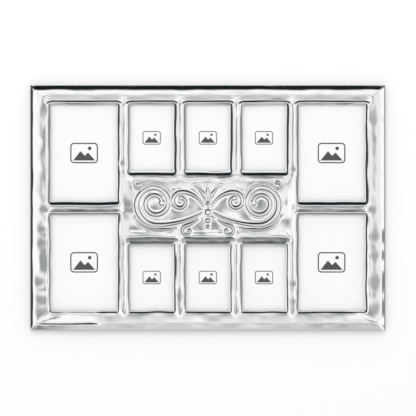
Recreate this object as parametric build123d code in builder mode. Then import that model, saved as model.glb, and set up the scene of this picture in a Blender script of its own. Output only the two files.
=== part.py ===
from build123d import *

import os
from collections import namedtuple
from math import cos, radians, sin

# A wall-hung collage frame in millimetres: X to the right, Z up, the front faces -Y.
# The wall plane is y = 0, and every depth below is measured from it towards the front.

# Photo formats and how far the window lip covers a photo on each side
LARGE_PHOTO_W = 90.0
LARGE_PHOTO_H = 130.0
SMALL_PHOTO_W = 60.0
SMALL_PHOTO_H = 90.0
LIP_OVERLAP = 1.5

# Spacing of the windows: the bar between two views, and the flat valley that its two rims leave
GAP = 17.0
VALLEY = 1.0

# Border moulding: rising bevel, falling inner slope, and the flat left between it and the rims
BEVEL_WIDTH = 10.0
BEVEL_FALL = 5.5
BEVEL_PEAK = 3.3
SIDE_FLAT = 3.5
END_FLAT = 2.0
SHOULDER_BEND = 2.6
PEAK_BEND = 3.0
FOOT_BEND = 1.6
SKIRT_SETBACK = 1.0

# Window rims, measured outwards from the edge of the view
SHEET_T = 0.8
RIM_PEAK = 3.6
RIM_CREST = 4.0
RIM_FLAT = 0.8
LIP_BEND = 1.0
CREST_BEND = 1.6
REVEAL_RISE = 0.4
VIEW_CORNER = 3.0

# Depth of the stack behind each window, from the back
TRAY_DEPTH = 3.4
BOARD_T = 2.5
CARD_T = 0.4
GLASS_T = 2.0
LEDGE_T = 2.2

# Core panel
TRAY_RIM = 5.0
CORE_CHAMFER = 2.0
SHEET_FIT = 0.1
POCKET_PLAY = 0.75
PANE_PLAY = 0.25
LIP_FIT = 0.2
LIP_LIFT = 0.1

# Turn buttons and their screws
BUTTON_LENGTH = 24.0
BUTTON_WIDTH = 8.0
BUTTON_T = 1.0
BUTTON_EDGE = 0.2
BUTTON_LIFT = 0.15
BUTTON_SWEEP_GAP = 0.6
TURN_PLAY = 0.05
SCREW_R = 1.4
SCREW_BITE = 5.0
HEAD_R = 2.8
HEAD_H = 1.4
HEAD_EDGE = 0.6
HEAD_LIFT = 0.1
RECESS_LENGTH = 3.0
RECESS_WIDTH = 0.7
RECESS_DEPTH = 0.6
PILOT_FIT = 0.03

# Hangers: a strap rolled round the base of a triangular wire ring
STRAP_W = 8.5
STRAP_T = 0.7
STRAP_LENGTH = 12.0
STRAP_HOLE = 6.0
STRAP_CORNER = 3.0
LOOP_LIFT = 0.3
RING_WIRE_R = 0.7
RING_BASE = 16.0
RING_HEIGHT = 16.0
RING_BEND = 1.5
RING_PLAY = 0.06
HANGER_DROP = 43.0

# Centre ornament: a mirrored scroll, drawn on a field of this size and fitted to the space
DRAWN_HALF_W = 98.0
DRAWN_HALF_H = 37.5
ORNAMENT_GAP = 3.0
ORNAMENT_ROOT = 0.4
START_BEAD = 0.6
END_BEAD = 0.75
QUARTER = 90

# Sizes that follow from these
RIM_WIDTH = (GAP - VALLEY) / 2
BORDER_SIDE = BEVEL_WIDTH + BEVEL_FALL + SIDE_FLAT + RIM_WIDTH
BORDER_END = BEVEL_WIDTH + BEVEL_FALL + END_FLAT + RIM_WIDTH
LARGE_VIEW_W = LARGE_PHOTO_W - 2 * LIP_OVERLAP
LARGE_VIEW_H = LARGE_PHOTO_H - 2 * LIP_OVERLAP
SMALL_VIEW_W = SMALL_PHOTO_W - 2 * LIP_OVERLAP
SMALL_VIEW_H = SMALL_PHOTO_H - 2 * LIP_OVERLAP
FRAME_W = 2 * BORDER_SIDE + 2 * LARGE_VIEW_W + 3 * SMALL_VIEW_W + 4 * GAP
FRAME_H = 2 * BORDER_END + 2 * LARGE_VIEW_H + GAP
CORE_W = FRAME_W - 2 * (SHEET_T + SHEET_FIT)
CORE_H = FRAME_H - 2 * (SHEET_T + SHEET_FIT)
TRAY_W = CORE_W - 2 * TRAY_RIM
TRAY_H = CORE_H - 2 * TRAY_RIM

# Depths
CARD_BACK = TRAY_DEPTH + BOARD_T
GLASS_BACK = CARD_BACK + CARD_T
LEDGE = GLASS_BACK + GLASS_T
CORE_FRONT = LEDGE + LEDGE_T
FIELD_FRONT = CORE_FRONT + SHEET_T
BUTTON_FRONT = TRAY_DEPTH - BUTTON_LIFT
BUTTON_HEAD_SEAT = BUTTON_FRONT - BUTTON_T - HEAD_LIFT
STRAP_HEAD_SEAT = TRAY_DEPTH - STRAP_T

# Window centres
LARGE_X = FRAME_W / 2 - BORDER_SIDE - LARGE_VIEW_W / 2
LARGE_Z = (LARGE_VIEW_H + GAP) / 2
SMALL_X = SMALL_VIEW_W + GAP
SMALL_Z = FRAME_H / 2 - BORDER_END - SMALL_VIEW_H / 2
LARGE_CENTRES = {
    "large_top_left": (-LARGE_X, LARGE_Z),
    "large_bottom_left": (-LARGE_X, -LARGE_Z),
    "large_top_right": (LARGE_X, LARGE_Z),
    "large_bottom_right": (LARGE_X, -LARGE_Z),
}
SMALL_CENTRES = {
    "small_top_left": (-SMALL_X, SMALL_Z),
    "small_top_middle": (0.0, SMALL_Z),
    "small_top_right": (SMALL_X, SMALL_Z),
    "small_bottom_left": (-SMALL_X, -SMALL_Z),
    "small_bottom_middle": (0.0, -SMALL_Z),
    "small_bottom_right": (SMALL_X, -SMALL_Z),
}

# Turn button pivots: on the bars between windows, and on the side borders beside the tray's rim
BAR_X = (LARGE_X - LARGE_VIEW_W / 2 - GAP / 2, SMALL_X / 2)
SIDE_X = TRAY_W / 2 - BUTTON_SWEEP_GAP - BUTTON_LENGTH / 2
ACROSS, UPRIGHT = 0, 90
Button = namedtuple("Button", "x z turn")
BUTTONS = {
    "left_upper": Button(-SIDE_X, LARGE_Z, ACROSS),
    "left_lower": Button(-SIDE_X, -LARGE_Z, ACROSS),
    "right_upper": Button(SIDE_X, LARGE_Z, ACROSS),
    "right_lower": Button(SIDE_X, -LARGE_Z, ACROSS),
    "left_middle": Button(-LARGE_X, 0.0, UPRIGHT),
    "right_middle": Button(LARGE_X, 0.0, UPRIGHT),
}
for row, z in (("top", SMALL_Z), ("bottom", -SMALL_Z)):
    for column, x in enumerate((-BAR_X[0], -BAR_X[1], BAR_X[1], BAR_X[0]), start=1):
        BUTTONS[f"{row}_{column}"] = Button(x, z, ACROSS)
BUTTON_POINTS = [(button.x, button.z) for button in BUTTONS.values()]

# Hanger places: midway between the outer pockets and the tray's rim, near the top
POCKET_EDGE_X = LARGE_X + LARGE_PHOTO_W / 2 + POCKET_PLAY
HANGER_X = (POCKET_EDGE_X + TRAY_W / 2) / 2
HANGERS = {"left": -HANGER_X, "right": HANGER_X}
LOOP_INNER_R = RING_WIRE_R + RING_PLAY
LOOP_OUTER_R = LOOP_INNER_R + STRAP_T
LOOP_DEPTH = TRAY_DEPTH - LOOP_OUTER_R - LOOP_LIFT
LOOP_Z = FRAME_H / 2 - HANGER_DROP
STRAP_SCREW_POINTS = [(x, LOOP_Z - STRAP_HOLE) for x in HANGERS.values()]

os.makedirs("parts", exist_ok=True)
TO_FRONT = Vector(0, -1, 0)
DOME = (Align.CENTER, Align.CENTER, Align.MIN)


def depth_plane(depth):
    """The plane parallel to the wall at a depth, seen from the front: local x is X, local y is Z."""
    return Plane.XZ.offset(depth)


def sheet_profile(plane, front, bends):
    """The closed section of the sheet: its front line, and the same line one thickness behind.

    front runs with the metal on its right-hand side, and bends holds the radius at each inner corner.
    """
    points = [Vector(*point) for point in front]
    rights = []
    for near, far in zip(points, points[1:]):
        along = (far - near).normalized()
        rights.append(Vector(along.Y, -along.X))
    back = [points[0] + rights[0] * SHEET_T]
    back_bends = []
    for point, right, next_right, bend in zip(points[1:], rights, rights[1:], bends):
        mitre = (right + next_right) * (SHEET_T / (1 + right.dot(next_right)))
        turns_right = right.cross(next_right).Z < 0
        back.append(point + mitre)
        back_bends.append(bend - SHEET_T if turns_right else bend + SHEET_T)
    back.append(points[-1] + rights[-1] * SHEET_T)
    outline = [(point.X, point.Y) for point in points + back[::-1]]
    corners = [0, *bends, 0, 0, *back_bends[::-1], 0]
    with BuildSketch(plane) as profile:
        with BuildLine():
            FilletPolyline(*outline, radius=corners, close=True)
        make_face()
    return profile.sketch


def section_plane(path):
    """The plane across a path at its start: local x points to the path's right, local y to the front."""
    along = path % 0
    return Plane(origin=path @ 0, x_dir=along.cross(TO_FRONT), z_dir=-along)


# Rim round one window: lip, sloped reveal, rounded crest and outer slope down to the field
RIM_FRONT = [
    (0, LEDGE + LIP_LIFT),
    (0, CORE_FRONT + REVEAL_RISE),
    (RIM_CREST, FIELD_FRONT + RIM_PEAK),
    (RIM_WIDTH - RIM_FLAT, FIELD_FRONT),
    (RIM_WIDTH, FIELD_FRONT),
]
RIM_BENDS = [LIP_BEND, CREST_BEND, FOOT_BEND]


def window_rim(view_w, view_h):
    """The rim round a view of the given size, centred on the wall plane's origin."""
    with BuildPart() as rim:
        with BuildLine(Plane.XZ) as view:
            FilletPolyline(
                (-view_w / 2, -view_h / 2),
                (view_w / 2, -view_h / 2),
                (view_w / 2, view_h / 2),
                (-view_w / 2, view_h / 2),
                radius=VIEW_CORNER,
                close=True,
            )
        section = sheet_profile(section_plane(view.line), RIM_FRONT, RIM_BENDS)
        sweep(sections=section, path=view.line)
    return rim.part


large_rim = window_rim(LARGE_VIEW_W, LARGE_VIEW_H)
small_rim = window_rim(SMALL_VIEW_W, SMALL_VIEW_H)

# Border moulding all round, mitred at the corners: skirt, shoulder, bevel, peak and inner slope
BORDER_FOOT = BEVEL_WIDTH + BEVEL_FALL
STRIP_W = BORDER_FOOT + END_FLAT / 2
BORDER_FRONT = [
    (0, SKIRT_SETBACK),
    (0, FIELD_FRONT),
    (BEVEL_WIDTH, FIELD_FRONT + BEVEL_PEAK),
    (BORDER_FOOT, FIELD_FRONT),
    (STRIP_W, FIELD_FRONT),
]
BORDER_BENDS = [SHOULDER_BEND, PEAK_BEND, FOOT_BEND]

with BuildPart() as border:
    with BuildLine(Plane.XZ) as frame_edge:
        Polyline(
            (0, -FRAME_H / 2),
            (-FRAME_W / 2, -FRAME_H / 2),
            (-FRAME_W / 2, FRAME_H / 2),
            (FRAME_W / 2, FRAME_H / 2),
            (FRAME_W / 2, -FRAME_H / 2),
            (0, -FRAME_H / 2),
        )
    border_section = sheet_profile(section_plane(frame_edge.line), BORDER_FRONT, BORDER_BENDS)
    sweep(sections=border_section, path=frame_edge.line, transition=Transition.RIGHT)

# Centre ornament: half-round strokes along chains of tangent arcs, with a bead at each end
FREE_HALF_W = (3 * SMALL_VIEW_W + 4 * GAP) / 2 - RIM_WIDTH - ORNAMENT_GAP
FREE_HALF_H = SMALL_Z - SMALL_VIEW_H / 2 - RIM_WIDTH - ORNAMENT_GAP
ORNAMENT_SCALE = min(FREE_HALF_W / DRAWN_HALF_W, FREE_HALF_H / DRAWN_HALF_H)
ORNAMENT_PLANE = depth_plane(FIELD_FRONT - ORNAMENT_ROOT)


def volute(radius, shrink, quarters, turn):
    """The arcs of a volute: quarter turns, each tighter than the last."""
    return [(radius * shrink**step, turn) for step in range(quarters)]


Stroke = namedtuple("Stroke", "start heading width arcs")
STEM = Stroke((8, -7), -30, 5.0, [(118, 30), *volute(26.5, 0.85, 7, QUARTER)])
UPPER_SCROLL = Stroke((6, 2), 66, 4.2, [(31, -66), *volute(11.5, 0.8, 5, -QUARTER)])
LOWER_SCROLL = Stroke((13, -16), -34, 3.2, [(64, 16), *volute(6.6, 0.78, 3, -QUARTER)])
CREST_LINE = Stroke((49.3, 19.7), 60, 3.0, [(25.1, -60), (28.5, -38), (4.4, 130), (3.4, 110)])
UNDER_LINE = Stroke((41.1, -26.6), -12, 3.0, [(124.5, 12), (33, 62)])
LEAF = Stroke((3, 9.5), 78, 3.6, [(30, -48)])
STROKES = [STEM, UPPER_SCROLL, LOWER_SCROLL, CREST_LINE, UNDER_LINE, LEAF]
SPINE_FROM = (0, 12)
SPINE_TO = (0, 31)
SPINE_WIDTH = 4.2
Bead = namedtuple("Bead", "x z radius")
MIDDLE_BEADS = [Bead(0, -6, 3.6), Bead(0, -17, 2.6), Bead(0, -24, 1.8), Bead(0, 5.5, 2.2)]


def scaled(point):
    """A drawn point at the ornament's fitted scale."""
    return (point[0] * ORNAMENT_SCALE, point[1] * ORNAMENT_SCALE)


def half_round(path, width):
    """A half-round section of a drawn width across the start of a path."""
    radius = width * ORNAMENT_SCALE / 2
    with BuildSketch(section_plane(path)) as section:
        Circle(radius)
        Rectangle(2 * radius, radius, align=(Align.CENTER, Align.MAX), mode=Mode.SUBTRACT)
    return section.sketch


def stroke_path(stroke):
    """The line that a stroke follows: arcs in a chain, each tangent to the last."""
    heading = radians(stroke.heading)
    with BuildLine(ORNAMENT_PLANE) as path:
        at = scaled(stroke.start)
        along = (cos(heading), sin(heading))
        for radius, turn in stroke.arcs:
            arc = JernArc(at, along, radius * ORNAMENT_SCALE, turn)
            at = arc @ 1
            along = arc % 1
    return path.line


with BuildPart(ORNAMENT_PLANE) as ornament:
    for stroke in STROKES:
        path = stroke_path(stroke)
        sweep(sections=half_round(path, stroke.width), path=path)
        for end, share in ((path @ 0, START_BEAD), (path @ 1, END_BEAD)):
            with Locations((end.X, end.Z)):
                Sphere(stroke.width * ORNAMENT_SCALE * share, arc_size1=0, align=DOME)
    mirror(about=Plane.YZ)
    with BuildLine(ORNAMENT_PLANE) as spine:
        Line(scaled(SPINE_FROM), scaled(SPINE_TO))
    sweep(sections=half_round(spine.line, SPINE_WIDTH), path=spine.line)
    for bead in MIDDLE_BEADS:
        with Locations(scaled(bead)):
            Sphere(bead.radius * ORNAMENT_SCALE, arc_size1=0, align=DOME)

# Front sheet: one pressed sheet with the border, the flat field, the ten rims and the ornament
with BuildPart() as front_sheet:
    with BuildSketch(depth_plane(CORE_FRONT)):
        Rectangle(FRAME_W - 2 * STRIP_W, FRAME_H - 2 * STRIP_W)
        with Locations(*LARGE_CENTRES.values()):
            RectangleRounded(
                LARGE_VIEW_W + 2 * RIM_WIDTH,
                LARGE_VIEW_H + 2 * RIM_WIDTH,
                VIEW_CORNER + RIM_WIDTH,
                mode=Mode.SUBTRACT,
            )
        with Locations(*SMALL_CENTRES.values()):
            RectangleRounded(
                SMALL_VIEW_W + 2 * RIM_WIDTH,
                SMALL_VIEW_H + 2 * RIM_WIDTH,
                VIEW_CORNER + RIM_WIDTH,
                mode=Mode.SUBTRACT,
            )
    extrude(amount=SHEET_T)
    add(border.part)
    with Locations(*[(x, 0, z) for x, z in LARGE_CENTRES.values()]):
        add(large_rim)
    with Locations(*[(x, 0, z) for x, z in SMALL_CENTRES.values()]):
        add(small_rim)
    add(ornament.part)
front_sheet.part.label = "front_sheet"
export_step(front_sheet.part, "parts/front_sheet.step")

# Core panel: a routed board with a recess at the back and a stepped pocket behind each window
with BuildPart() as core_panel:
    with BuildSketch(depth_plane(0)):
        Rectangle(CORE_W, CORE_H)
    extrude(amount=CORE_FRONT)
    front_face = core_panel.faces().sort_by(Axis.Y)[0]
    chamfer(front_face.edges(), length=CORE_CHAMFER)
    with BuildSketch(depth_plane(0)):
        Rectangle(TRAY_W, TRAY_H)
    extrude(amount=TRAY_DEPTH, mode=Mode.SUBTRACT)
    with BuildSketch(depth_plane(TRAY_DEPTH)):
        with Locations(*LARGE_CENTRES.values()):
            Rectangle(LARGE_PHOTO_W + 2 * POCKET_PLAY, LARGE_PHOTO_H + 2 * POCKET_PLAY)
        with Locations(*SMALL_CENTRES.values()):
            Rectangle(SMALL_PHOTO_W + 2 * POCKET_PLAY, SMALL_PHOTO_H + 2 * POCKET_PLAY)
    extrude(amount=LEDGE - TRAY_DEPTH, mode=Mode.SUBTRACT)
    aperture = SHEET_T + LIP_FIT
    with BuildSketch(depth_plane(LEDGE)):
        with Locations(*LARGE_CENTRES.values()):
            RectangleRounded(LARGE_VIEW_W + 2 * aperture, LARGE_VIEW_H + 2 * aperture, VIEW_CORNER + aperture)
        with Locations(*SMALL_CENTRES.values()):
            RectangleRounded(SMALL_VIEW_W + 2 * aperture, SMALL_VIEW_H + 2 * aperture, VIEW_CORNER + aperture)
    extrude(amount=LEDGE_T, mode=Mode.SUBTRACT)
    with BuildSketch(depth_plane(TRAY_DEPTH)):
        with Locations(*BUTTON_POINTS, *STRAP_SCREW_POINTS):
            Circle(SCREW_R + PILOT_FIT)
    extrude(amount=SCREW_BITE + PILOT_FIT, mode=Mode.SUBTRACT)
core_panel.part.label = "core_panel"
export_step(core_panel.part, "parts/core_panel.step")

# Glass pane, photo card and backing board behind each window
Window = namedtuple("Window", "x z photo_w photo_h")
WINDOWS = {name: Window(x, z, LARGE_PHOTO_W, LARGE_PHOTO_H) for name, (x, z) in LARGE_CENTRES.items()}
for name, (x, z) in SMALL_CENTRES.items():
    WINDOWS[name] = Window(x, z, SMALL_PHOTO_W, SMALL_PHOTO_H)
Layer = namedtuple("Layer", "back thickness spare")
LAYERS = {
    "glass": Layer(GLASS_BACK, GLASS_T, POCKET_PLAY - PANE_PLAY),
    "photo_card": Layer(CARD_BACK, CARD_T, 0.0),
    "backing_board": Layer(TRAY_DEPTH, BOARD_T, POCKET_PLAY - PANE_PLAY),
}
for window_name, window in WINDOWS.items():
    for layer_name, layer in LAYERS.items():
        with BuildPart() as pane:
            with BuildSketch(depth_plane(layer.back)):
                with Locations((window.x, window.z)):
                    Rectangle(window.photo_w + 2 * layer.spare, window.photo_h + 2 * layer.spare)
            extrude(amount=layer.thickness)
        pane.part.label = f"{layer_name}_{window_name}"
        export_step(pane.part, f"parts/{layer_name}_{window_name}.step")

# Turn buttons: two-ended oval plates that turn on their screws over the backing boards
for button_name, button in BUTTONS.items():
    with BuildPart() as turn_button:
        with BuildSketch(depth_plane(BUTTON_FRONT - BUTTON_T)):
            with Locations((button.x, button.z)):
                SlotOverall(BUTTON_LENGTH, BUTTON_WIDTH, rotation=button.turn)
                Circle(SCREW_R + TURN_PLAY, mode=Mode.SUBTRACT)
        extrude(amount=BUTTON_T)
        rims = turn_button.faces().filter_by(Axis.Y)
        fillet([face.outer_wire().edges() for face in rims], radius=BUTTON_EDGE)
    turn_button.part.label = f"turn_button_{button_name}"
    export_step(turn_button.part, f"parts/turn_button_{button_name}.step")


def pan_head_screws(points, head_seat):
    """Pan-head wood screws with a cross recess, one at each point, with heads seated at a depth."""
    with BuildPart() as screws:
        with BuildSketch(depth_plane(head_seat - HEAD_H)):
            with Locations(*points):
                Circle(HEAD_R)
        extrude(amount=HEAD_H)
        back_edges = screws.edges().filter_by(GeomType.CIRCLE).group_by(Axis.Y)[-1]
        fillet(back_edges, radius=HEAD_EDGE)
        with BuildSketch(depth_plane(head_seat)):
            with Locations(*points):
                Circle(SCREW_R)
        extrude(amount=TRAY_DEPTH + SCREW_BITE - head_seat)
        with BuildSketch(depth_plane(head_seat - HEAD_H)):
            with Locations(*points):
                Rectangle(RECESS_LENGTH, RECESS_WIDTH)
                Rectangle(RECESS_WIDTH, RECESS_LENGTH)
        extrude(amount=RECESS_DEPTH, mode=Mode.SUBTRACT)
    return screws.part


turn_button_screws = pan_head_screws(BUTTON_POINTS, BUTTON_HEAD_SEAT)
turn_button_screws.label = "turn_button_screws"
export_step(turn_button_screws, "parts/turn_button_screws.step")
hanger_screws = pan_head_screws(STRAP_SCREW_POINTS, STRAP_HEAD_SEAT)
hanger_screws.label = "hanger_screws"
export_step(hanger_screws, "parts/hanger_screws.step")

# Hanger straps: a plate on the floor of the recess, rolled into a loop at its upper end
for side, x in HANGERS.items():
    with BuildPart() as strap:
        with BuildSketch(Plane.YZ.offset(x)):
            with Locations((-TRAY_DEPTH, LOOP_Z)):
                Rectangle(STRAP_T, STRAP_LENGTH, align=(Align.MIN, Align.MAX))
            with Locations((-LOOP_DEPTH, LOOP_Z)):
                Circle(LOOP_OUTER_R)
                Circle(LOOP_INNER_R, mode=Mode.SUBTRACT)
        extrude(amount=STRAP_W / 2, both=True)
        foot_edges = strap.edges().filter_by(Axis.Y).group_by(Axis.Z)[0]
        fillet(foot_edges, radius=STRAP_CORNER)
        with BuildSketch(depth_plane(0)):
            with Locations((x, LOOP_Z - STRAP_HOLE)):
                Circle(SCREW_R + PILOT_FIT)
        extrude(amount=TRAY_DEPTH, mode=Mode.SUBTRACT)
    strap.part.label = f"hanger_strap_{side}"
    export_step(strap.part, f"parts/hanger_strap_{side}.step")

# Hanger rings: triangles of wire that hang round the heads of the strap screws
for side, x in HANGERS.items():
    with BuildPart() as ring:
        with BuildLine(depth_plane(LOOP_DEPTH)) as triangle:
            FilletPolyline(
                (x - RING_BASE / 2, LOOP_Z),
                (x + RING_BASE / 2, LOOP_Z),
                (x, LOOP_Z - RING_HEIGHT),
                radius=RING_BEND,
                close=True,
            )
        with BuildSketch(section_plane(triangle.line)) as wire:
            Circle(RING_WIRE_R)
        sweep(sections=wire.sketch, path=triangle.line)
    ring.part.label = f"hanger_ring_{side}"
    export_step(ring.part, f"parts/hanger_ring_{side}.step")
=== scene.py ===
"""Looks of a wall-hung collage frame: a pressed, hand-hammered silver sheet over a board with ten windows.

Lengths are in millimetres: x to the right, z up, and depth from the wall towards the front.
Materials, camera and lamp are in metres.
"""

import math
from collections import namedtuple

import bmesh
import bpy
import numpy as np
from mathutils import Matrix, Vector


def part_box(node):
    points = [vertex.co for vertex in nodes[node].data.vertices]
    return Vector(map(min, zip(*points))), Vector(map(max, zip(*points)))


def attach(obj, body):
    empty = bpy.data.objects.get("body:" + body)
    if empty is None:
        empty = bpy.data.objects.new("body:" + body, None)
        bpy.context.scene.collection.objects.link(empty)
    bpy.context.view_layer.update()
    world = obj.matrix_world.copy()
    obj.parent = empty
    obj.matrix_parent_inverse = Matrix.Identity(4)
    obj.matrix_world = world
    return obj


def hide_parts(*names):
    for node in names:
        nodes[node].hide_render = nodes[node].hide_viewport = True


MM = 0.001
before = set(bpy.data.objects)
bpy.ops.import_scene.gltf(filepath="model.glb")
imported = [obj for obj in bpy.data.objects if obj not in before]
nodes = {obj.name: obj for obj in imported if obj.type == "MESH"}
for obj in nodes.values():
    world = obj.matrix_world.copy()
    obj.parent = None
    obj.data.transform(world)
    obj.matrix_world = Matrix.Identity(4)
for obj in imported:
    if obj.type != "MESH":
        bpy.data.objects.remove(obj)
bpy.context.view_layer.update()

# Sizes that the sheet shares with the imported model
LIP_OVERLAP = 1.5
VIEW_CORNER = 1.6
HALF_GAP = 8.5
SHEET_T = 0.8
SKIRT_BACK = 1.0
CORE_FRONT = 10.5

Window = namedtuple("Window", "name x z half_w half_h")


def box_mm(node):
    """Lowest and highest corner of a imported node, in millimetres."""
    low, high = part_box(node)
    return np.array(low) / MM, np.array(high) / MM


windows = []
for name in nodes:
    if name.startswith("photo_card_"):
        low, high = box_mm(name)
        x, _, z = (low + high) / 2
        half_w, _, half_h = (high - low) / 2 - LIP_OVERLAP
        windows.append(Window(name.removeprefix("photo_card_"), x, z, half_w, half_h))
small_windows = [w for w in windows if w.name.startswith("small")]

_, (EDGE_X, _, EDGE_Z) = box_mm("front_sheet")
VIEWS_X = max(w.x + w.half_w for w in windows)
VIEWS_Z = max(w.z + w.half_h for w in windows)
CELLS_X = VIEWS_X + HALF_GAP
CELLS_Z = VIEWS_Z + HALF_GAP
CENTRE_X = max(w.x + w.half_w for w in small_windows) + HALF_GAP
CENTRE_Z = min(abs(w.z) - w.half_h for w in small_windows) - HALF_GAP
GLASS_FRONT = -box_mm("glass_" + windows[0].name)[0][1]


# Shape of the sheet's front: profiles across the border and the rims, hammered waves and marks, an ornament

# Step of a profile, and the stretch over which its softening goes from near to far
PROFILE_STEP = 0.02
NEAR_TO_FAR = (5, 9)

# Least and greatest length of a wave, as shares of the length asked for
WAVE_SPREAD = (0.7, 1.7)


def smoothstep(low, high, value):
    """0 up to low, 1 from high on, and smooth between; high may be the lesser of the two."""
    t = np.clip((value - low) / (high - low), 0, 1)
    return t * t * (3 - 2 * t)


def softened(values, reach):
    """Values smoothed by a bell curve, whose reach is in steps."""
    bell = np.exp(-0.5 * (np.arange(-3 * reach, 3 * reach + 1) / reach) ** 2)
    padded = np.pad(values, 3 * reach, mode="reflect", reflect_type="odd")
    return np.convolve(padded, bell / bell.sum(), "valid")


def profile(points, near, far):
    """A height profile through points, its bends softened over one length at first and another later."""
    at = np.arange(points[0][0], points[-1][0] + PROFILE_STEP, PROFILE_STEP)
    raw = np.interp(at, *zip(*points))
    at_first, later = (softened(raw, round(length / PROFILE_STEP)) for length in (near, far))
    further = smoothstep(*NEAR_TO_FAR, at)
    heights = (1 - further) * at_first + further * later
    return lambda u: np.interp(u, at, heights)


def waves(seed, length, count=26):
    """A smooth random field of about unit size: plane waves of about one length in every direction."""
    rng = np.random.default_rng(seed)
    turn = rng.uniform(0, 2 * math.pi, count)
    pitch = 2 * math.pi / (length * rng.uniform(*WAVE_SPREAD, count))
    phase = rng.uniform(0, 2 * math.pi, count)

    def field(x, z):
        total = np.zeros_like(x)
        for t, k, p in zip(turn, pitch, phase):
            total += np.sin(k * (x * math.cos(t) + z * math.sin(t)) + p)
        return total / math.sqrt(count / 2)

    return field


# Depth of the level field, and the centre's drop below it, by the distance inside the centre's outline
FIELD = 13.2
CENTRE_DROP = 1.3
CENTRE_FROM = (-3, 9)

# How the sheet stays over the core: a soft floor, and a hard one, which starts a little way outside a view
# and follows the chamfer along the core's outer edge
CORE_COVER = 10.7
COVER_BEND = 0.3
CORE_CLEAR = 0.03
CORE_START = 0.9
CORE_CHAMFER = 7.75

# Profiles across the border, as (distance from the outer edge, depth); the left one starts further in
LEVEL = [(26, FIELD), (60, FIELD)]
SHOULDER = [(-1, 7.8), (0, 8.7), (2.0, 10.5), (5.4, 12.85), (6.6, 13.2), (8.5, 13.4)]
BORDER_DOME = profile([*SHOULDER, (12, 13.7), (16, 13.92), (20, 14.08), *LEVEL], near=0.2, far=0.8)
RIGHT_EDGE = [(0, 9.2), (1.2, 10.2), (5.4, 12.2), (7.8, 12.95)]
BORDER_RIGHT = profile([*RIGHT_EDGE, (12, 13.45), (20, 13.95), *LEVEL], near=0.2, far=0.8)
BEVEL_RIDGE = 10.4
BEVEL = [(0, 12.2), (0.3, 12.35), (BEVEL_RIDGE, 15.3)]
FALL = [(13, 14.72), (16, 14.02), (19, 13.25), (22, 12.42), (24.4, 11.7), (26, 11.6), (60, 11.6)]
BORDER_BEVEL = profile([*BEVEL, *FALL], near=0.15, far=0.25)
BORDER_SADDLE = profile([*BEVEL, (15, 14.4), (20, 13.8), *LEVEL], near=0.15, far=0.25)
LEFT_CUT = 1.6

# The bottom bevel falls away under the windows, more steeply towards its ends, and is creased on the left
UNDER_WINDOWS = (2, 30)
STEEP_LEFT = 0.17
STEEP_LEFT_FROM = (-165, -230)
STEEP_RIGHT = 0.04
STEEP_RIGHT_FROM = (70, 170)
CREASE = [(7.1, 0), (9.5, 2.4), (21, 1.6), (24.5, 0)]
CREASE_FROM = (-138, -150)

# The borders mix at the corners, over a width that grows inwards, and grows faster past the shoulder
MITRE = 1.2
MITRE_GROWTH = 0.4
MITRE_INNER = 9
MITRE_INNER_GROWTH = 1.2

# Profiles across the rims, as (distance from the view, depth)
LIP_TOP = 10.7
LIP = [(-3, LIP_TOP - 0.45), (0, LIP_TOP)]
VALLEY = [(5.8, 13.24), (7.0, 13.08), (8.5, 13.04), (14, FIELD), *LEVEL]
RIM_SIDE = profile([*LIP, (2.1, 12.4), (4.4, 13.6), *VALLEY], near=0.15, far=0.6)
RIM_DEEP = profile([*LIP, (3.3, 13.35), (4.6, 13.85), *VALLEY], near=0.2, far=0.6)
RIM_SLIM = profile([*LIP, (3.0, 12.92), (4.6, 13.75), *VALLEY], near=0.2, far=0.6)
RIM_FAINT = profile([*LIP, (1.5, 11.9), (4.4, 13.45), *VALLEY], near=0.15, far=0.6)
FLAT_TOP = [(5.2, 13.28), (8.5, 13.12), (14, FIELD)]
RIM_FLAT = profile([*LIP, (1.5, 11.9), (3.6, 13.0), *FLAT_TOP, *LEVEL], near=0.2, far=0.8)
HEAD = [(2.9, 12.4), (3.1, 12.5), (5.8, 10.15), (13, FIELD)]
RIM_TOP = profile([(-3, 9.15), (0, 10.8), *HEAD, *LEVEL], near=0.15, far=0.2)
CAP = [(1.7, 14.25), (2.0, 14.35), (4.1, 13.5), (5.5, 13.0), (8.5, 12.1), (12, 12.7), (17, FIELD)]
RIM_CAP = profile([(-3, 10.5), (0, 12.9), *CAP, *LEVEL], near=0.15, far=0.5)
SILL = [(3.4, 13.45), (4.2, 13.8), (7.2, 12.1), (12, 12.8), (17, FIELD)]
RIM_SILL = profile([*LIP, *SILL, *LEVEL], near=0.2, far=0.5)
SHELF_RISE = [(2.6, 12.8), (3.9, 13.35), (5.2, 13.77), (6.5, 14.35), (9.1, 15.2)]
SHELF_FALL = [(11.5, 15.2), (15.5, 14.2), (20, FIELD)]
RIM_SHELF = profile([*LIP, *SHELF_RISE, *SHELF_FALL, *LEVEL], near=0.2, far=0.8)
RAMP = [(0.3, 14.85), (3.2, 13.65), (4.4, 13.1), (10.4, 11.25), (12, 11.6), (14.5, 12.5), (19, FIELD)]
RIM_RAMP = profile([(-3, 13.9), (0, 14.9), *RAMP, *LEVEL], near=0.1, far=0.4)
RIM_FOOT = profile([(-3, 12.5), (0, 12.2), (1.4, FIELD), *LEVEL], near=0.15, far=0.8)

# Flat flanges that some sides of a view have before their rim starts
FLANGE_RIGHT = 0.9
FLANGE_BELOW = 1.3
FLANGE_SHELF = 1.4

# Where the side rims flatten, above the lower end of the views, and where the shelf ends, beside the centre
FOOT = (16, -2)
SHELF_END = 14

# How far a direction leans to one side when that side's rim begins to show, and when it shows alone
TURN = (0.3, 0.95)

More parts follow.
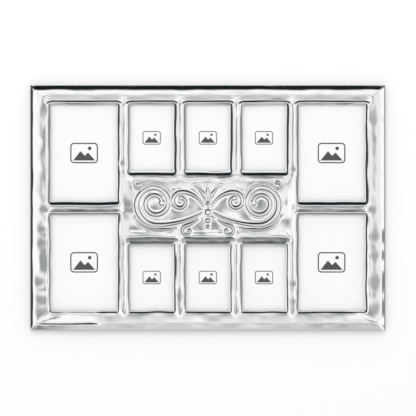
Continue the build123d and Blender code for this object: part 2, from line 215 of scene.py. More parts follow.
# Hammered unevenness: fields, and how large each is
broad_waves = waves(seed=3, length=46)
fine_waves = waves(seed=11, length=17)
border_wander = waves(seed=5, length=38)
rim_wander = waves(seed=8, length=34)
edge_wander = waves(seed=21, length=42)
BROAD = 0.12
BROAD_CENTRE = 0.38
FINE = 0.06
BORDER_WANDER = 0.8
BEVEL_WANDER = 0.4
RIM_WANDER = 0.4
EDGE_WANDER = 0.22

# Distances over which the unevenness sets in or ends, from the outer edge or from a view; the sheet
# is calm above the ramps
BORDER_WANDER_FROM = (3, 12)
RIM_WANDER_FROM = (4, 10)
EDGE_WANDER_TO = (2, 8)
LOOSE_FROM_EDGE = (2, 8)
LOOSE_FROM_VIEW = (1.5, 7)
CALM_TURN = (0.5, 0.85)
CALM_TO = (8, 16)

# Hammer marks: flat patches on the borders and between the windows, with how much they rise outwards
PRESSED_FROM_EDGE = (1.5, 6)
PRESSED_FROM_VIEW = (1.2, 4.6)
MARK_EDGE = 1.5
LEAN_LEFT = 0.024
LEAN_RIGHT = 0.012
Flat = namedtuple("Flat", "x z reach_x reach_z depth lean", defaults=[0])
FLATS = [
    Flat(-218, -28, 10, 7, 13.5, LEAN_LEFT),
    Flat(-217, -46, 10, 9, 13.45, LEAN_LEFT),
    Flat(-214, -72, 7, 20, 13.6, LEAN_LEFT),
    Flat(-221, -96, 13, 9, 13.25, LEAN_LEFT),
    Flat(-219, -118, 12, 8, 13.35, LEAN_LEFT),
    Flat(-219, -136, 12, 10, 13.3, LEAN_LEFT),
    Flat(-215, 128, 7, 9, 13.75, LEAN_LEFT),
    Flat(-214, -2, 8, 6, 13.4, LEAN_LEFT),
    Flat(220, -38, 13, 9, 13.4, LEAN_RIGHT),
    Flat(219, -63, 12, 7, 13.45, LEAN_RIGHT),
    Flat(220, -96.5, 15, 14, 13.3, LEAN_RIGHT),
    Flat(219, -132, 14, 12, 13.35, LEAN_RIGHT),
    Flat(217, 116, 9, 9, 13.55, LEAN_RIGHT),
    Flat(216, -3, 10, 7, 13.4, LEAN_RIGHT),
    Flat(112, -99, 7.5, 7.5, 12.95),
    Flat(112, -122, 7.5, 6.5, 12.95),
    Flat(112, 50, 7.5, 6, 12.95),
    Flat(-112, 58, 7, 7, 13.0),
    Flat(-37, -116, 7, 9, 13.0),
]

# Centre ornament, drawn for its right half: each stroke is a chain of tangent arcs (radius, turn),
# with a width at its start, about a third of the way along and at its end
Stroke = namedtuple("Stroke", "start heading arcs widths")
Bead = namedtuple("Bead", "x z radius")
WIDEST_AT = 0.35


def volute(radius, shrink, quarters, turn):
    """The arcs of a volute: quarter turns, each tighter than the last."""
    return [(radius * shrink**step, turn) for step in range(quarters)]


STROKES = [
    Stroke((8, -7), -30, [(118, 30), *volute(26.5, 0.85, 7, 90)], (2.4, 7.2, 5.4)),
    Stroke((6, 2), 66, [(31, -66), *volute(11.5, 0.8, 4, -90)], (2.4, 6.0, 4.6)),
    Stroke((13, -16), -34, [(64, 16), *volute(6.6, 0.78, 3, -90)], (2.0, 5.0, 3.6)),
    Stroke((49.3, 19.7), 60, [(25.1, -60), (28.5, -38), (4.4, 130), (3.4, 110)], (2.0, 4.6, 3.4)),
    Stroke((41.1, -26.6), -12, [(124.5, 12), (33, 62)], (1.8, 4.6, 2.0)),
    Stroke((3, 9.5), 78, [(30, -48)], (2.0, 5.6, 1.6)),
    Stroke((0, 12), 90, [(4000, 0.272)], (2.0, 6.4, 1.6)),
]
BEADS = [Bead(0, -6, 4.4), Bead(0, -17, 3.4), Bead(0, -25, 2.6), Bead(0, 5.5, 2.8)]
END_BEAD = 0.8

# Section of a stroke by the distance inside its outline: a steep flank, a flat top and a groove round it
FLANK = 1.8
FLANK_SLOPE = 0.80
FLANK_TOP = FLANK * FLANK_SLOPE
FLANK_POINTS = [(-2, -2 * FLANK_SLOPE), (FLANK, FLANK_TOP), (8, FLANK_TOP + 0.9)]
FLANK_HEIGHT = profile(FLANK_POINTS, near=0.2, far=0.2)
GROOVE = 0.35
GROOVE_FROM = (-3.0, -0.3)
GROOVE_TO = (-0.3, 0.6)
STROKE_REACH = 4
OUTSIDE = -9.0


def stroke_points(stroke, step=0.5):
    """Points along a stroke and the half width at each."""
    x, z = stroke.start
    heading = math.radians(stroke.heading)
    points = [(x, z)]
    for radius, turn in stroke.arcs:
        turn = math.radians(turn)
        count = max(2, round(radius * abs(turn) / step))
        chord = 2 * radius * math.sin(abs(turn) / count / 2)
        for _ in range(count):
            heading += turn / count / 2
            x += chord * math.cos(heading)
            z += chord * math.sin(heading)
            heading += turn / count / 2
            points.append((x, z))
    along = np.linspace(0, 1, len(points))
    return np.array(points), np.interp(along, (0, WIDEST_AT, 1), stroke.widths) / 2


def ornament_height(x, z):
    """Height of the ornament above the field: flat-topped ridges along the strokes, and beads."""
    side = np.abs(x)
    within = np.full_like(x, OUTSIDE)
    ridges = [stroke_points(stroke) for stroke in STROKES]
    ridges += [(points[-1:], half[-1:] * 2 * END_BEAD) for points, half in ridges]
    ridges += [(np.array([(bead.x, bead.z)]), np.array([bead.radius])) for bead in BEADS]
    for points, half in ridges:
        low, high = points.min(0) - STROKE_REACH, points.max(0) + STROKE_REACH
        near = (side > low[0]) & (side < high[0]) & (z > low[1]) & (z < high[1])
        if not near.any():
            continue
        gaps = np.hypot(side[near][:, None] - points[:, 0], z[near][:, None] - points[:, 1])
        within[near] = np.maximum(within[near], (half - gaps).max(axis=1))
    groove = GROOVE * smoothstep(*GROOVE_FROM, within) * (1 - smoothstep(*GROOVE_TO, within))
    return FLANK_HEIGHT(np.maximum(within, 0)) - groove


def nearest_window(x, z):
    """Distance outside the nearest view, the x and z of the way out, and whether it is small and low."""
    distance = np.full_like(x, np.inf)
    out_x, out_z, small, low = (np.zeros_like(x) for _ in range(4))
    for window in windows:
        past_x = np.abs(x - window.x) - (window.half_w - VIEW_CORNER)
        past_z = np.abs(z - window.z) - (window.half_h - VIEW_CORNER)
        beyond_x, beyond_z = np.maximum(past_x, 0), np.maximum(past_z, 0)
        length = np.hypot(beyond_x, beyond_z)
        here = length + np.minimum(np.maximum(past_x, past_z), 0) - VIEW_CORNER
        closer = here < distance
        length = np.maximum(length, 1e-9)
        distance = np.where(closer, here, distance)
        out_x = np.where(closer, np.sign(x - window.x) * beyond_x / length, out_x)
        out_z = np.where(closer, np.sign(z - window.z) * beyond_z / length, out_z)
        small = np.where(closer, float(window in small_windows), small)
        low = np.where(closer, float(window.z < 0), low)
    return distance, out_x, out_z, small, low


def rim_depth(distance, out_x, out_z, small, low, shelf, foot):
    """Depth of the rim round a view, which differs from side to side."""
    above, below = smoothstep(*TURN, out_z), smoothstep(*TURN, -out_z)
    beside = 1 - above - below
    left = smoothstep(*TURN, -out_x) * beside
    right = beside - left
    shares = [
        (RIM_TOP, above * (1 - low)),
        (RIM_CAP, above * low * (1 - small)),
        (RIM_RAMP, above * low * small),
        (RIM_SILL, below * (1 - low) * (1 - shelf)),
        (RIM_SHELF, below * (1 - low) * shelf),
        (RIM_FOOT, below * low),
        (RIM_FLAT, beside * foot),
        (RIM_SLIM, left * (1 - foot)),
        (RIM_SIDE, right * (1 - low) * (1 - small)),
        (RIM_DEEP, right * (1 - low) * small),
        (RIM_FAINT, right * low * (1 - foot)),
    ]
    return sum(share * shape(distance) for shape, share in shares)


def border_depth(x, z, from_edge, at_end, out_z):
    """Depth of the border: domed at the top and left, plainer on the right, and bevelled at the bottom."""
    at_top, at_bottom = at_end * (z > 0), at_end * (z < 0)
    at_left, at_right = (1 - at_end) * (x < 0), (1 - at_end) * (x > 0)
    wander = BORDER_WANDER + (BEVEL_WANDER - BORDER_WANDER) * at_bottom
    wander *= smoothstep(*BORDER_WANDER_FROM, from_edge)
    at = from_edge + LEFT_CUT * at_left + wander * border_wander(x, z)
    at += EDGE_WANDER * (at_top + at_left) * edge_wander(x, z)
    under = smoothstep(*TURN, -out_z) * smoothstep(*UNDER_WINDOWS, VIEWS_X - np.abs(x))
    bottom = (1 - under) * BORDER_SADDLE(at) + under * BORDER_BEVEL(at)
    steeper = STEEP_LEFT * smoothstep(*STEEP_LEFT_FROM, x) + STEEP_RIGHT * smoothstep(*STEEP_RIGHT_FROM, x)
    bottom -= steeper * np.maximum(BEVEL_RIDGE - at, 0)
    bottom -= np.interp(at, *zip(*CREASE)) * smoothstep(*CREASE_FROM, x)
    domed = 1 - at_bottom - at_right
    return domed * BORDER_DOME(at) + at_bottom * bottom + at_right * BORDER_RIGHT(at)


def with_marks(depth, x, z, pressed):
    """Depth with the hammer marks, as far as the sheet is pressed there."""
    for flat in FLATS:
        away = ((x - flat.x) / flat.reach_x) ** 2 + ((z - flat.z) / flat.reach_z) ** 2
        level = flat.depth + flat.lean * (np.abs(x) - abs(flat.x))
        depth = depth + pressed * np.exp(-(away**MARK_EDGE)) * (level - depth)
    return depth


def hammered(x, z):
    """Where a place on the flat sheet ends up: x, z and depth of its front."""
    from_window, out_x, out_z, small, low = nearest_window(x, z)
    from_side, from_end = EDGE_X - np.abs(x), EDGE_Z - np.abs(z)
    nearest = np.minimum(from_side, from_end)
    mitre = MITRE + MITRE_GROWTH * nearest + MITRE_INNER_GROWTH * np.maximum(nearest - MITRE_INNER, 0)
    at_end = smoothstep(-mitre, mitre, from_side - from_end)
    from_edge = from_side + at_end * (from_end - from_side)
    centre = smoothstep(*CENTRE_FROM, np.minimum(CENTRE_X - np.abs(x), CENTRE_Z - np.abs(z)))

    flange_below = FLANGE_BELOW + FLANGE_SHELF * small * (1 - low)
    flange = FLANGE_RIGHT * np.maximum(out_x, 0) + flange_below * np.maximum(-out_z, 0)
    wander = RIM_WANDER * rim_wander(x, z) * smoothstep(*RIM_WANDER_FROM, from_window)
    rim_at = from_window - flange + wander
    shelf = small * (1 - smoothstep(CENTRE_X - SHELF_END, CENTRE_X, np.abs(x)))
    foot = low * smoothstep(*FOOT, z + VIEWS_Z)
    depth = border_depth(x, z, from_edge, at_end, out_z)
    depth += rim_depth(rim_at, out_x, out_z, small, low, shelf, foot) - FIELD - CENTRE_DROP * centre

    loose = smoothstep(*LOOSE_FROM_VIEW, from_window) * smoothstep(*LOOSE_FROM_EDGE, from_edge)
    on_ramp = small * low * smoothstep(*CALM_TURN, out_z)
    calm = on_ramp * (1 - smoothstep(*CALM_TO, from_window))
    depth += loose * (BROAD + BROAD_CENTRE * centre) * (1 - calm) * broad_waves(x, z)
    depth += loose * FINE * fine_waves(x, z)
    pressed = smoothstep(*PRESSED_FROM_VIEW, from_window) * smoothstep(*PRESSED_FROM_EDGE, from_edge)
    depth = with_marks(depth, x, z, pressed)

    covered = CORE_COVER + COVER_BEND * np.logaddexp(0, (depth - CORE_COVER) / COVER_BEND)
    depth += loose * (covered - depth) + ornament_height(x, z)
    core = np.minimum(CORE_FRONT + CORE_CLEAR, CORE_CHAMFER + from_edge)
    depth = np.where(from_window > CORE_START, np.maximum(depth, core), depth)
    shift = EDGE_WANDER * edge_wander(x, z) * (1 - smoothstep(*EDGE_WANDER_TO, from_window))
    return np.stack([x + shift * out_x, z + shift * out_z, depth], axis=-1)


# Net of the sheet: rings round every window, a fine grid in the centre and mitred strips round the border
NET_COARSE = 2.6
NET_FINE = 0.68
SAME_LINE = 1e-3

# Rings by their distance from a view, which spread into the corners of its cell, and depths down the lip
RIM_RINGS = np.array([0, 0.06, 0.5, 1.1, 1.6, 2.2, 2.9, 3.5, 4.1, 4.7, 5.3, 6.0, 6.8, 7.6, HALF_GAP])
RINGS_SPREAD = (4.5, HALF_GAP)
LIP_BACK = GLASS_FRONT + 0.15
LIP_DEPTHS = [LIP_BACK, LIP_BACK + 0.1, 10.0]

# Rings by their distance from the outer edge, and depths down the skirt, which is folded in at the back
BORDER_CREST = [13.7, 13.3, 12.9, 12.5, 12.1, 11.7]
BORDER_INNER = [17, 15.6, 14.4, *BORDER_CREST, 11.2, 10.8, 10.4, 9.9, 9.4, 9.0, 8.6, 8.2, 7.7, 6.9]
BORDER_OUTER = [6.0, 5.2, 4.4, 3.5, 2.6, 1.8, 1.1, 0.6, 0.3, 0.1, 0]
BORDER_RINGS = np.array(BORDER_INNER + BORDER_OUTER) / BORDER_INNER[0]
SKIRT_DEPTHS = [7.6, 6.4, 5.0, 3.0, SKIRT_BACK + 0.1, SKIRT_BACK]
SKIRT_FOLD = 4


def stops(values, low, high):
    """The distinct values from low to high, in order."""
    return [v for v in sorted(set(np.round(values, 6))) if low - 1e-6 <= v <= high + 1e-6]


CELL_STOPS_X = [w.x + side * (w.half_w + HALF_GAP) for w in windows for side in (-1, 1)]
CELL_STOPS_Z = [w.z + side * (w.half_h + HALF_GAP) for w in windows for side in (-1, 1)]


def on_centre_edge(x, z):
    """Whether a place lies on the outline of the centre field."""
    beside = abs(abs(x) - CENTRE_X) < SAME_LINE and abs(z) < CENTRE_Z
    above = abs(abs(z) - CENTRE_Z) < SAME_LINE and abs(x) < CENTRE_X
    return beside or above


def divided(start, end):
    """Points from start up to but not including end, closer together along the centre field."""
    start, end = np.array(start), np.array(end)
    spacing = NET_FINE if on_centre_edge(*((start + end) / 2)) else NET_COARSE
    count = round(np.abs(end - start).sum() / spacing)
    return start + (end - start) * np.linspace(0, 1, count, endpoint=False)[:, None]


def outline(x0, x1, z0, z1):
    """Points round a rectangle, anticlockwise from the front, with one at every corner of a cell."""
    across, up = stops(CELL_STOPS_X, x0, x1), stops(CELL_STOPS_Z, z0, z1)
    corners = [(x, z0) for x in across] + [(x1, z) for z in up[1:]]
    corners += [(x, z1) for x in across[-2::-1]] + [(x0, z) for z in up[-2::-1]]
    return np.concatenate([divided(a, b) for a, b in zip(corners, corners[1:])])


def with_depth(places, depth):
    """Rows of x, z and one depth for all."""
    return np.column_stack([places, np.full(len(places), depth)])


def window_strip(window):
    """Rows of points from the back edge of a window's lip out to the edge of its cell."""
    half = np.array([window.half_w, window.half_h])
    centre = np.array([window.x, window.z])
    (x0, z0), (x1, z1) = centre - half - HALF_GAP, centre + half + HALF_GAP
    cell = outline(x0, x1, z0, z1)
    root = centre + np.clip(cell - centre, VIEW_CORNER - half, half - VIEW_CORNER)
    reach = np.linalg.norm(cell - root, axis=1)
    ray = (cell - root) / reach[:, None]
    corner_spare = reach - VIEW_CORNER - HALF_GAP
    rings = VIEW_CORNER + RIM_RINGS[:, None] + smoothstep(*RINGS_SPREAD, RIM_RINGS)[:, None] * corner_spare
    places = root + ray * rings[..., None]
    front = hammered(places[..., 0], places[..., 1])
    edge = front[0, :, :2]
    lip = [with_depth(edge + ray * SHEET_T, LIP_BACK)] + [with_depth(edge, depth) for depth in LIP_DEPTHS]
    return np.concatenate([np.array(lip), front])


def border_strip():
    """Rows of points from the outer cells across the border, over its shoulder and down the skirt."""
    inner = outline(-CELLS_X, CELLS_X, -CELLS_Z, CELLS_Z)
    outer = inner * (EDGE_X / CELLS_X, EDGE_Z / CELLS_Z)
    places = outer + (inner - outer) * BORDER_RINGS[:, None, None]
    front = hammered(places[..., 0], places[..., 1])
    within_skirt = np.array([EDGE_X, EDGE_Z]) - SHEET_T
    folded = outer - np.clip(outer, -within_skirt, within_skirt)
    skirt = [with_depth(outer, depth) for depth in SKIRT_DEPTHS]
    skirt += [with_depth(outer - folded, depth) for depth in (SKIRT_BACK, SKIRT_BACK + SKIRT_FOLD)]
    return np.concatenate([front, np.array(skirt)])


def centre_grid():
    """Rows of points over the centre field, from its bottom to its top."""
    across = stops(CELL_STOPS_X, -CENTRE_X, CENTRE_X)
    up = stops([*CELL_STOPS_Z, 0], -CENTRE_Z, CENTRE_Z)
    columns = [divided((a, CENTRE_Z), (b, CENTRE_Z))[:, 0] for a, b in zip(across, across[1:])]
    rows = [divided((CENTRE_X, a), (CENTRE_X, b))[:, 1] for a, b in zip(up, up[1:])]
    x, z = np.meshgrid([*np.concatenate(columns), CENTRE_X], [*np.concatenate(rows), CENTRE_Z])
    return hammered(x, z)


def joined_mesh(name, strips):
    """One mesh from strips, with equal points shared; a closed strip runs round, an open one is a grid."""
    points, quads, start = [], [], 0
    for strip, closed in strips:
        rows, count, _ = strip.shape
        index = start + np.arange(rows * count).reshape(rows, count)
        after = np.roll(index, -1, axis=1)
        keep = count if closed else count - 1
        quad = [index[:-1, :keep], index[1:, :keep], after[1:, :keep], after[:-1, :keep]]
        if not closed:
            quad.reverse()
        quads.append(np.stack(quad, axis=-1).reshape(-1, 4))
        points.append(strip.reshape(-1, 3))
        start += rows * count
    points, quads = np.concatenate(points), np.concatenate(quads)
    _, first, shared = np.unique(np.round(points, 3), axis=0, return_index=True, return_inverse=True)
    x, z, depth = points[first].T
    mesh = bpy.data.meshes.new(name)
    mesh.from_pydata(np.column_stack([x, -depth, z]) * MM, [], shared.reshape(-1)[quads])
    mesh.validate()
    mesh.shade_smooth()
    return mesh


def add_object(name, data):
    """A new object in the scene."""
    thing = bpy.data.objects.new(name, data)
    bpy.context.scene.collection.objects.link(thing)
    return thing


def add_piece(name, mesh, slot, *materials):
    """A piece of the fixed frame with its materials; the slot it is given is not used."""
    piece = add_object(name, mesh)
    for material in materials:
        mesh.materials.append(material)
    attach(piece, "frame")
    return piece


# Materials
WHITE = (1, 1, 1, 1)
GRAIN_RELIEF = 0.0002


def new_material(name):
    """An empty node material, its node tree and its output node."""
    material = bpy.data.materials.new(name)
    material.use_nodes = True
    tree = material.node_tree
    tree.nodes.clear()
    return material, tree, tree.nodes.new("ShaderNodeOutputMaterial")


def add_node(tree, kind, settings=None, **inputs):
    """A node with settings and inputs, by name or as i and a number; a socket is linked, a value set."""
    node = tree.nodes.new("ShaderNode" + kind)
    for key, value in (settings or {}).items():
        setattr(node, key, value)
    for key, value in inputs.items():
        socket = node.inputs[int(key[1:])] if key[1:].isdigit() else node.inputs[key.replace("_", " ")]
        if isinstance(value, bpy.types.NodeSocket):
            tree.links.new(value, socket)
        else:
            socket.default_value = value
    return node


def arithmetic(tree, operation, *values):
    """The result of a maths node."""
    inputs = {f"i{n}": value for n, value in enumerate(values)}
    return add_node(tree, "Math", {"operation": operation}, **inputs).outputs[0]


def ramp(tree, factor, steps):
    """A colour ramp of (place, colour) steps, driven by a factor."""
    node = add_node(tree, "ValToRGB", Fac=factor)
    elements = node.color_ramp.elements
    while len(elements) < len(steps):
        elements.new(1.0)
    for element, (place, colour) in zip(elements, steps):
        element.position = place
        element.color = (*colour, 1.0)
    return node.outputs["Color"]


def surface(name, colours, roughness, grain, bump, metallic=0.0, stretch=(1, 1, 1)):
    """A material whose colour and roughness follow a grain, with a matching fine relief."""
    material, tree, output = new_material(name)
    place = add_node(tree, "TexCoord").outputs["Object"]
    place = add_node(tree, "Mapping", Vector=place, Scale=stretch).outputs["Vector"]
    noise = add_node(tree, "TexNoise", Vector=place, Scale=grain, Detail=6.0, Roughness=0.6)
    level = noise.outputs["Fac"]
    colour = ramp(tree, level, [(0.3, colours[0]), (0.7, colours[1])])
    rough = add_node(tree, "MapRange", Value=level, To_Min=roughness[0], To_Max=roughness[1])
    relief = add_node(tree, "Bump", Height=level, Strength=bump, Distance=GRAIN_RELIEF)
    shader = add_node(
        tree,
        "BsdfPrincipled",
        Base_Color=colour,
        Metallic=metallic,
        Roughness=rough.outputs["Result"],
        Normal=relief.outputs["Normal"],
    )
    tree.links.new(shader.outputs["BSDF"], output.inputs["Surface"])
    return material


def clear_glass(name):
    """Thin clear glass, faintly smeared: light goes straight through, and the outside mirrors at a slant."""
    material, tree, output = new_material(name)
    slant = add_node(tree, "LayerWeight", Blend=0.5).outputs["Facing"]
    slant = arithmetic(tree, "POWER", slant, 5.0)
    share = add_node(tree, "MapRange", Value=slant, To_Min=0.02, To_Max=1.0).outputs["Result"]
    outside = arithmetic(tree, "SUBTRACT", 1.0, add_node(tree, "NewGeometry").outputs["Backfacing"])
    share = arithmetic(tree, "MULTIPLY", share, outside)
    place = add_node(tree, "TexCoord").outputs["Object"]
    smears = add_node(tree, "TexNoise", Vector=place, Scale=30.0, Detail=4.0).outputs["Fac"]
    rough = add_node(tree, "MapRange", Value=smears, To_Min=0.01, To_Max=0.06).outputs["Result"]
    clear = add_node(tree, "BsdfTransparent", Color=WHITE)
    mirror = add_node(tree, "BsdfGlossy", Roughness=rough)
    mixed = add_node(tree, "MixShader", i0=share, i1=clear.outputs[0], i2=mirror.outputs[0])
    tree.links.new(mixed.outputs[0], output.inputs["Surface"])
    return material


silver = surface(
    "hammered_silver",
    colours=[(0.96, 0.96, 0.96), (0.985, 0.985, 0.985)],
    roughness=(0.07, 0.13),
    grain=55.0,
    bump=0.03,
    metallic=1.0,
)
fibreboard = surface(
    "dark_fibreboard",
    colours=[(0.030, 0.027, 0.025), (0.060, 0.054, 0.050)],
    roughness=(0.75, 0.92),
    grain=900.0,
    bump=0.35,
)
hardboard = surface(
    "brown_hardboard",
    colours=[(0.20, 0.115, 0.055), (0.34, 0.21, 0.11)],
    roughness=(0.45, 0.7),
    grain=350.0,
    bump=0.25,
    stretch=(1, 1, 0.4),
)
zinc = surface(
    "zinc_plated_steel",
    colours=[(0.56, 0.56, 0.55), (0.70, 0.70, 0.68)],
    roughness=(0.25, 0.42),
    grain=500.0,
    bump=0.08,
    metallic=1.0,
    stretch=(1, 1, 6),
)
paper = surface(
    "white_paper",
    colours=[(0.965, 0.965, 0.96), (0.985, 0.985, 0.98)],
    roughness=(0.55, 0.7),
    grain=1500.0,
    bump=0.05,
)
ink = surface(
    "grey_ink",
    colours=[(0.055, 0.056, 0.060), (0.085, 0.086, 0.092)],
    roughness=(0.4, 0.55),
    grain=1200.0,
    bump=0.05,
)
glass = clear_glass("clear_glass")

NODE_MATERIALS = {
    "core_panel": fibreboard,
    "glass_": glass,
    "backing_board_": hardboard,
    "turn_button_": zinc,
    "hanger_": zinc,
}
for name, node in nodes.items():
    for start, material in NODE_MATERIALS.items():
        if name.startswith(start):
            node.data.materials.clear()
            node.data.materials.append(material)

# The sheet
strips = [(window_strip(window), True) for window in windows]
strips += [(border_strip(), True), (centre_grid(), False)]
sheet = add_piece("silver_sheet", joined_mesh("silver_sheet", strips), "silver_sheet", silver)
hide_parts("front_sheet")

# Photo cards with a plain picture sign, a hair behind the glass; the sign's width is a share of the view's,
# and its other sizes are shares of its width
CARD_GAP = 0.1
CARD_CORNER = 1.0
INK_LIFT = 0.03
SIGN_WIDTH = 0.42
SIGN_SHAPE = 0.74
SIGN_LINE = 0.045
PEAKS = [(-0.40, -0.27), (-0.13, 0.07), (0.02, -0.10), (0.14, 0.02), (0.40, -0.27)]
SUN = Bead(0.20, 0.17, 0.065)


def rounded_rectangle(half_w, half_h, radius, per_corner=6):
    """Points round a rectangle with rounded corners, anticlockwise."""
    turns = np.linspace(0, math.pi / 2, per_corner)
    points = []
    for quarter, (sx, sz) in enumerate([(1, 1), (-1, 1), (-1, -1), (1, -1)]):
        x, z = sx * (half_w - radius), sz * (half_h - radius)
        for turn in turns + quarter * math.pi / 2:
            points.append((x + radius * math.cos(turn), z + radius * math.sin(turn)))
    return points


def sun_disc(sides=24):
    """Points round the sign's sun, anticlockwise."""
    turns = np.linspace(0, 2 * math.pi, sides, endpoint=False)
    return [(SUN.x + SUN.radius * math.cos(t), SUN.z + SUN.radius * math.sin(t)) for t in turns]


def printed_card(window):
    """The photo card of a window: a sheet with rounded corners, and the sign printed on it."""
    low, high = box_mm("photo_card_" + window.name)
    back, front = -high[1], -low[1] - CARD_GAP
    build = bmesh.new()

    def ring(points, depth, scale=1):
        places = [(window.x + x * scale, window.z + z * scale) for x, z in points]
        return [build.verts.new((x * MM, -depth * MM, z * MM)) for x, z in places]

    def band(outer, inner):
        around = [(n, (n + 1) % len(outer)) for n in range(len(outer))]
        return [build.faces.new((outer[n], outer[after], inner[after], inner[n])) for n, after in around]

    card = rounded_rectangle((high[0] - low[0]) / 2, (high[2] - low[2]) / 2, CARD_CORNER)
    front_ring, back_ring = ring(card, front), ring(card, back)
    build.faces.new(front_ring)
    build.faces.new(back_ring[::-1])
    band(back_ring, front_ring)
    width = SIGN_WIDTH * 2 * window.half_w
    half_w, half_h, line = width / 2, width * SIGN_SHAPE / 2, width * SIGN_LINE
    ink_depth = front + INK_LIFT
    outer = ring(rounded_rectangle(half_w, half_h, 3 * line), ink_depth)
    inner = ring(rounded_rectangle(half_w - line, half_h - line, 2 * line), ink_depth)
    inked = band(outer, inner)
    for shape in (PEAKS, sun_disc()):
        inked.append(build.faces.new(ring(shape, ink_depth, scale=width)))
    for face in inked:
        face.material_index = 1
    mesh = bpy.data.meshes.new("card_" + window.name)
    build.to_mesh(mesh)
    build.free()
    return mesh


for window in windows:
    card = add_piece("card_" + window.name, printed_card(window), "photo_card", paper, ink)
    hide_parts("photo_card_" + window.name)

# Camera, straight on and far away, so that the picture is 547.7 mm wide at the frame; in metres
PICTURE_W = 0.5477
CAMERA_AWAY = 3.0
FRAME_MIDDLE = 0.008
camera = add_object("camera", bpy.data.cameras.new("camera"))
camera.location = (0.0002, -CAMERA_AWAY, -0.0004)
camera.rotation_euler = (math.radians(90), 0, 0)
camera.data.lens = camera.data.sensor_width * (CAMERA_AWAY - FRAME_MIDDLE) / PICTURE_W
bpy.context.scene.camera = camera

# Light: a soft box above the camera, which metal doesn't mirror, and a studio all round
lamp = add_object("soft_box", bpy.data.lights.new("soft_box", "AREA"))
lamp.location = (-0.2, -2.4, 0.9)
lamp.rotation_euler = (Vector((0, 0, 0)) - lamp.location).to_track_quat("-Z", "Y").to_euler()
lamp.data.shape = "DISK"
lamp.data.size = 1.6
lamp.data.energy = 18
lamp.visible_glossy = False

# What metal mirrors in each direction: (degrees away from straight towards the camera, level)
NEAR = [(0, 0.26), (3, 0.33)]
BRIGHT = [*NEAR, (8, 0.82), (13, 1.0)]
DUSK = [(24, 0.82), (34, 0.66), (48, 0.42), (53, 0.14), (57, 0.50), (62, 0.58), (70, 0.25), (76, 0.13)]
STUDIO = {
    "up": [*BRIGHT, (17, 0.98), (24, 0.74), (30, 0.50), (36, 0.30), (46, 0.12), (59, 0.003), (92, 0.003)],
    "left": [*BRIGHT, (55, 1.0), (64, 0.05), (92, 0.03)],
    "right": [*NEAR, (8, 0.62), (13, 0.84), (38, 0.88), (46, 1.0), (60, 1.0), (68, 0.28), (92, 0.15)],
    "down": [*BRIGHT, *DUSK, (92, 0.10)],
}
BEHIND = [(110, 0.75), (180, 0.85)]
AMBIENT = 0.80
NAVY = (0.0, 0.02, 0.035)
TINT_LEAST = 0.004
TINT_FADE = 0.02


def cool(level):
    """A grey that turns to a cool navy as it darkens, and nearly back to grey towards black."""
    tint = (1 - level) * (level + TINT_LEAST) / (level + TINT_FADE)
    return [level + part * tint for part in NAVY]


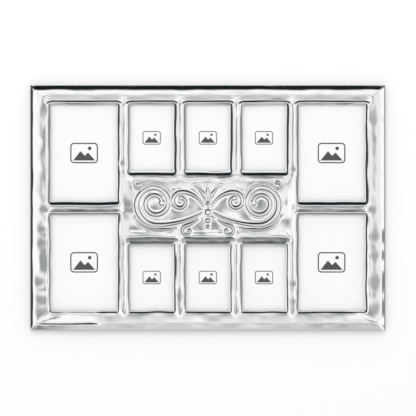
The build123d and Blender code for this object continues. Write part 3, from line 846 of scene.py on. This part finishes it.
def studio_world():
    """A world that lights evenly, is white to the camera and shows the studio to what mirrors it."""
    world = bpy.data.worlds.new("studio")
    world.use_nodes = True
    tree = world.node_tree
    tree.nodes.clear()
    way = add_node(tree, "SeparateXYZ", Vector=add_node(tree, "TexCoord").outputs["Generated"])
    x, y, z = way.outputs
    away = arithmetic(tree, "ARCCOSINE", arithmetic(tree, "MULTIPLY", y, -1.0))
    away = arithmetic(tree, "DIVIDE", away, math.pi)
    across = arithmetic(tree, "ADD", arithmetic(tree, "MULTIPLY", x, x), arithmetic(tree, "MULTIPLY", z, z))
    across = arithmetic(tree, "MAXIMUM", arithmetic(tree, "SQRT", across), 1e-4)
    sides = {"up": (z, 1.0), "down": (z, -1.0), "right": (x, 1.0), "left": (x, -1.0)}
    shades = []
    for name, (part, sign) in sides.items():
        share = arithmetic(tree, "MULTIPLY", arithmetic(tree, "DIVIDE", part, across), sign)
        share = arithmetic(tree, "MAXIMUM", share, 0.0)
        share = arithmetic(tree, "MULTIPLY", share, share)
        steps = [(degrees / 180, cool(level)) for degrees, level in STUDIO[name] + BEHIND]
        colour = ramp(tree, away, steps)
        shade = add_node(tree, "VectorMath", {"operation": "SCALE"}, i0=colour, Scale=share)
        shades.append(shade.outputs[0])
    studio = shades[0]
    for shade in shades[1:]:
        studio = add_node(tree, "VectorMath", {"operation": "ADD"}, i0=studio, i1=shade).outputs[0]
    path = add_node(tree, "LightPath").outputs
    even = add_node(tree, "Background", Color=WHITE, Strength=AMBIENT)
    white = add_node(tree, "Background", Color=WHITE, Strength=1.0)
    mirrored = add_node(tree, "Background", Color=studio, Strength=1.0)
    seen = arithmetic(tree, "MAXIMUM", path["Is Camera Ray"], path["Is Transmission Ray"])
    lit = add_node(tree, "MixShader", i0=path["Is Glossy Ray"], i1=even.outputs[0], i2=mirrored.outputs[0])
    shown = add_node(tree, "MixShader", i0=seen, i1=lit.outputs[0], i2=white.outputs[0])
    tree.links.new(shown.outputs[0], add_node(tree, "OutputWorld").inputs["Surface"])
    return world


bpy.context.scene.world = studio_world()

# The wall that the frame hangs on: white in front, nothing from behind, and open where the frame hides it,
# so that light reaches the frame's back
WALL_HALF = 900
WALL_BACK = 0.6
WALL_PAINT = (0.93, 0.93, 0.93, 1)
WALL_GLOW = 0.045
HIDDEN = 2


def wall_mesh():
    """Four sides of a wall round an opening."""
    corners = []
    for half_w, half_h in [(WALL_HALF, WALL_HALF), (EDGE_X - HIDDEN, EDGE_Z - HIDDEN)]:
        corners += [(-half_w, -half_h), (half_w, -half_h), (half_w, half_h), (-half_w, half_h)]
    sides = [(n, (n + 1) % 4, (n + 1) % 4 + 4, n + 4) for n in range(4)]
    mesh = bpy.data.meshes.new("wall")
    mesh.from_pydata([(x * MM, WALL_BACK * MM, z * MM) for x, z in corners], [], sides)
    return mesh


def wall_paint():
    """White paint that is seen from one side only."""
    material, tree, output = new_material("white_wall")
    paint = add_node(tree, "BsdfDiffuse", Color=WALL_PAINT)
    seen = add_node(tree, "LightPath").outputs["Is Camera Ray"]
    glow = add_node(tree, "Emission", Color=WHITE, Strength=arithmetic(tree, "MULTIPLY", seen, WALL_GLOW))
    paint = add_node(tree, "AddShader", i0=paint.outputs[0], i1=glow.outputs[0])
    nothing = add_node(tree, "BsdfTransparent")
    behind = add_node(tree, "NewGeometry").outputs["Backfacing"]
    one_sided = add_node(tree, "MixShader", i0=behind, i1=paint.outputs[0], i2=nothing.outputs[0])
    tree.links.new(one_sided.outputs[0], output.inputs["Surface"])
    return material


wall = add_object("wall", wall_mesh())
wall.data.materials.append(wall_paint())

bpy.context.scene.view_settings.view_transform = "Standard"
